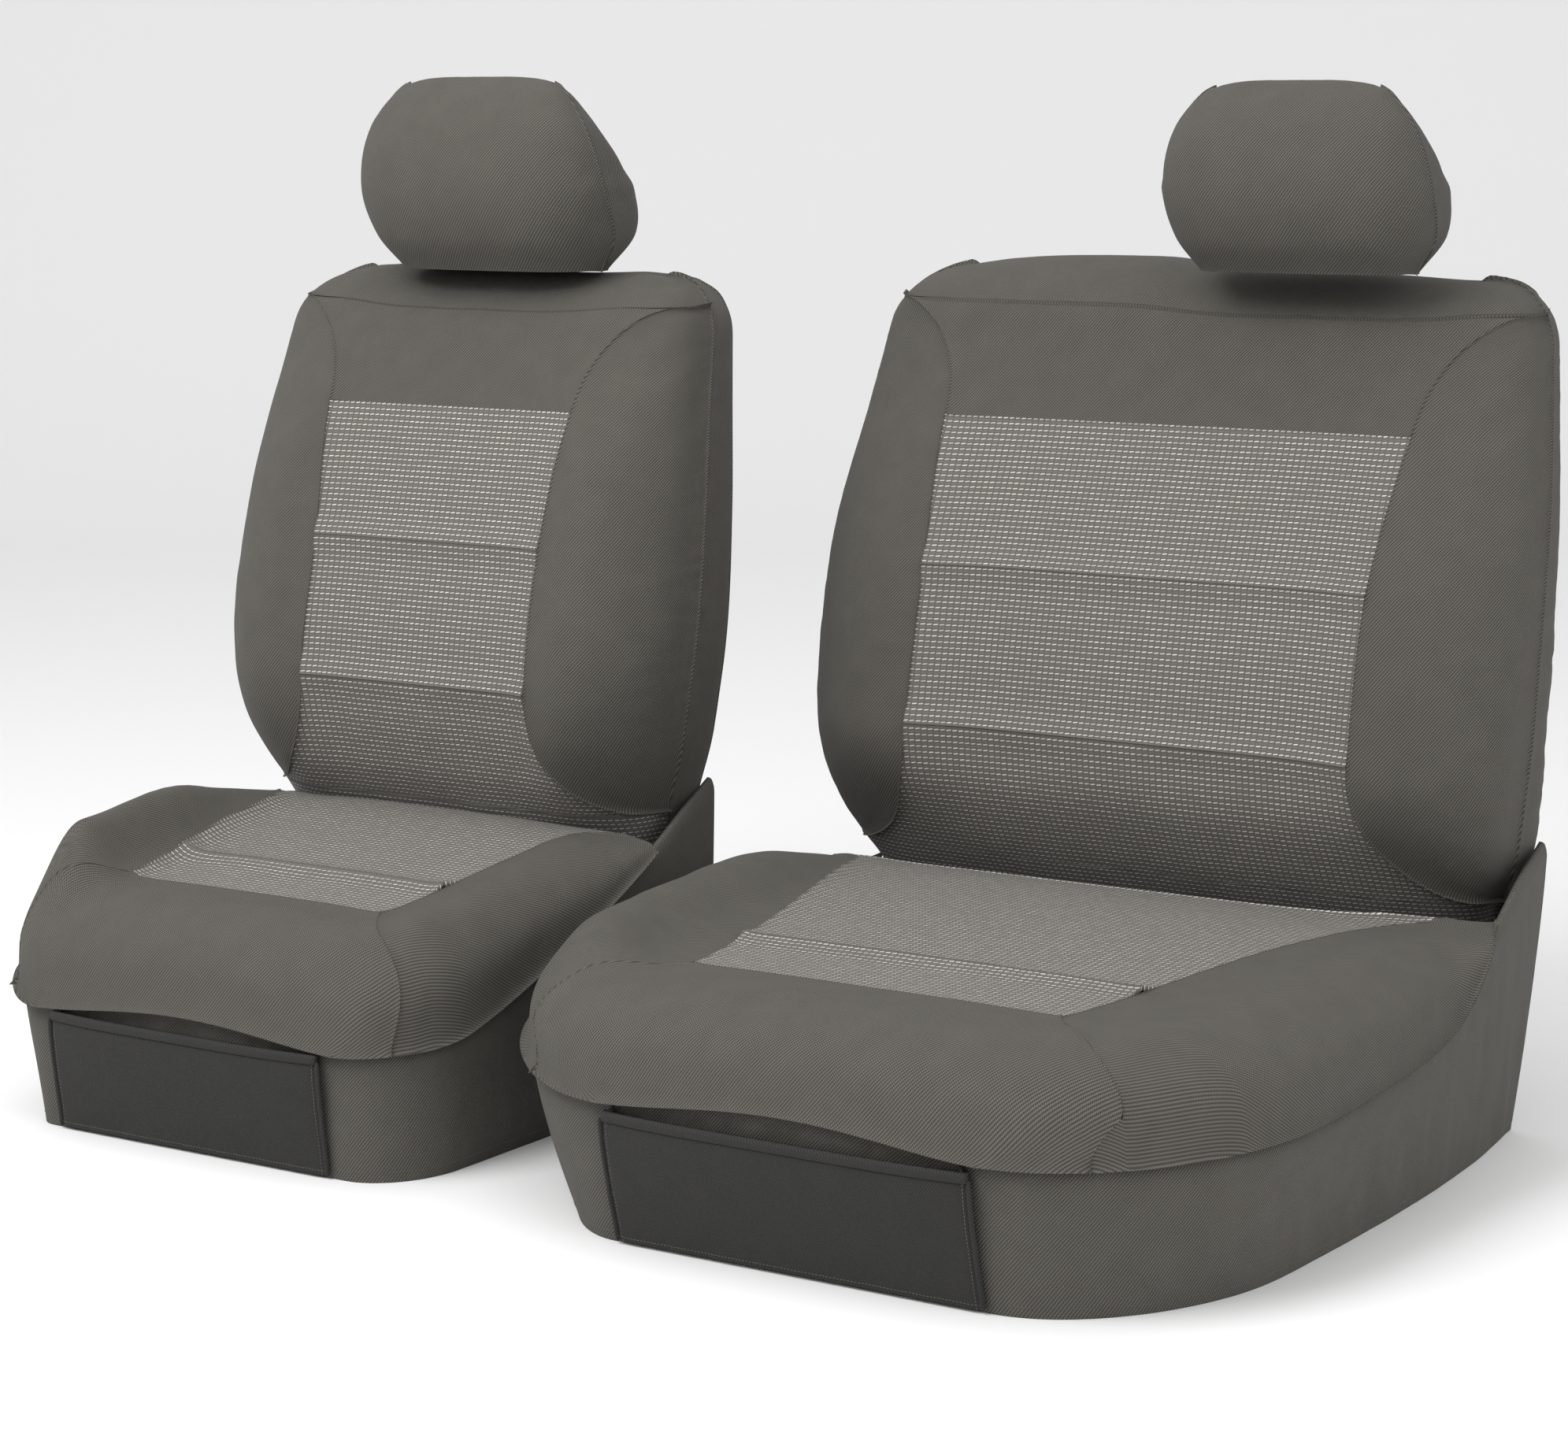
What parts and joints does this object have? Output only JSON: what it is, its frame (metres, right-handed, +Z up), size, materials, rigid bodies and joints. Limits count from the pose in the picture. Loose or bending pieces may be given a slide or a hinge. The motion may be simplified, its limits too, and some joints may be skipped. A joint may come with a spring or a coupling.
{
  "type": "seat cover set",
  "caption": "Fitted fabric covers for a bucket seat and a wide bench: headrest, backrest and skirted base covers with patterned centre panels and front pockets.",
  "frame": {"origin": "middle of the footprint of the whole set, on the surface that the hems stand on", "axes": "+X to the passenger side along both seats, -Y the way the seats face, +Z up"},
  "size_m": [1.4176, 0.9326, 1.0495],
  "materials": {
    "plain_twill": "matt warm dark grey basket-weave polyester backed with foam",
    "insert_jacquard": "mid grey jacquard with rows of short pale dashes",
    "pocket_cloth": "matt dark grey coarse weave",
    "lining_cloth": "plain dark knitted cloth",
    "elastic": "black woven elastic webbing",
    "buckle_nylon": "black moulded nylon"
  },
  "bodies": {
    "seat_bases": {"driver_base_insert_rear": "insert_jacquard", "driver_base_insert_front": "insert_jacquard", "driver_base_yoke": "plain_twill", "driver_base_wing_right": "plain_twill", "driver_base_wing_left": "plain_twill", "driver_base_tuck_flap": "lining_cloth", "driver_base_skirt": "plain_twill", "driver_base_hem_elastic": "elastic", "driver_base_rear_panel": "lining_cloth", "driver_base_strap_right": "elastic", "driver_base_buckle_right": "buckle_nylon", "driver_base_strap_left": "elastic", "driver_base_buckle_left": "buckle_nylon", "bench_base_insert_rear": "insert_jacquard", "bench_base_insert_front": "insert_jacquard", "bench_base_yoke": "plain_twill", "bench_base_wing_right": "plain_twill", "bench_base_wing_left": "plain_twill", "bench_base_tuck_flap": "lining_cloth", "bench_base_skirt": "plain_twill", "bench_base_hem_elastic": "elastic", "bench_base_rear_panel": "lining_cloth", "bench_base_strap_right": "elastic", "bench_base_buckle_right": "buckle_nylon", "bench_base_strap_left": "elastic", "bench_base_buckle_left": "buckle_nylon"},
    "driver_back": {"driver_back_insert_lower": "insert_jacquard", "driver_back_insert_middle": "insert_jacquard", "driver_back_insert_upper": "insert_jacquard", "driver_back_yoke": "plain_twill", "driver_back_bolster_right": "plain_twill", "driver_back_bolster_left": "plain_twill", "driver_back_gusset_right": "plain_twill", "driver_back_gusset_left": "plain_twill", "driver_back_rear_panel": "plain_twill", "driver_back_strap_right": "elastic", "driver_back_strap_left": "elastic"},
    "bench_back": {"bench_back_insert_lower": "insert_jacquard", "bench_back_insert_middle": "insert_jacquard", "bench_back_insert_upper": "insert_jacquard", "bench_back_yoke": "plain_twill", "bench_back_bolster_right": "plain_twill", "bench_back_bolster_left": "plain_twill", "bench_back_gusset_right": "plain_twill", "bench_back_gusset_left": "plain_twill", "bench_back_rear_panel": "plain_twill", "bench_back_strap_right": "elastic", "bench_back_strap_left": "elastic"},
    "driver_headrest": {"driver_headrest_front_panel": "plain_twill", "driver_headrest_rear_panel": "plain_twill", "driver_headrest_floor_panel": "lining_cloth"},
    "bench_headrest": {"bench_headrest_front_panel": "plain_twill", "bench_headrest_rear_panel": "plain_twill", "bench_headrest_floor_panel": "lining_cloth"},
    "driver_pocket": {"driver_base_pocket": "pocket_cloth", "driver_base_pocket_binding": "pocket_cloth"},
    "bench_pocket": {"bench_base_pocket": "pocket_cloth", "bench_base_pocket_binding": "pocket_cloth"}
  },
  "joints": [
    {"name": "driver_recline", "type": "hinge", "parent": "seat_bases", "child": "driver_back", "pos_m": [-0.4112, 0.1106, 0.2495], "axis": [-1, 0, 0], "range_deg": [0, 30]},
    {"name": "driver_headrest_height", "type": "slide", "parent": "driver_back", "child": "driver_headrest", "axis": [0, 0, 1], "range_m": [0, 0.06]},
    {"name": "driver_pocket_open", "type": "hinge", "parent": "seat_bases", "child": "driver_pocket", "pos_m": [-0.4112, -0.4094, 0.0041], "axis": [1, 0, 0], "range_deg": [0, 14], "stiffness_Nm_per_rad": 1},
    {"name": "bench_recline", "type": "hinge", "parent": "seat_bases", "child": "bench_back", "pos_m": [0.3008, 0.3406, 0.2395], "axis": [-1, 0, 0], "range_deg": [0, 30]},
    {"name": "bench_headrest_height", "type": "slide", "parent": "bench_back", "child": "bench_headrest", "axis": [0, 0, 1], "range_m": [0, 0.06]},
    {"name": "bench_pocket_open", "type": "hinge", "parent": "seat_bases", "child": "bench_pocket", "pos_m": [0.3008, -0.4274, 0.0041], "axis": [1, 0, 0], "range_deg": [0, 14], "stiffness_Nm_per_rad": 1}
  ]
}
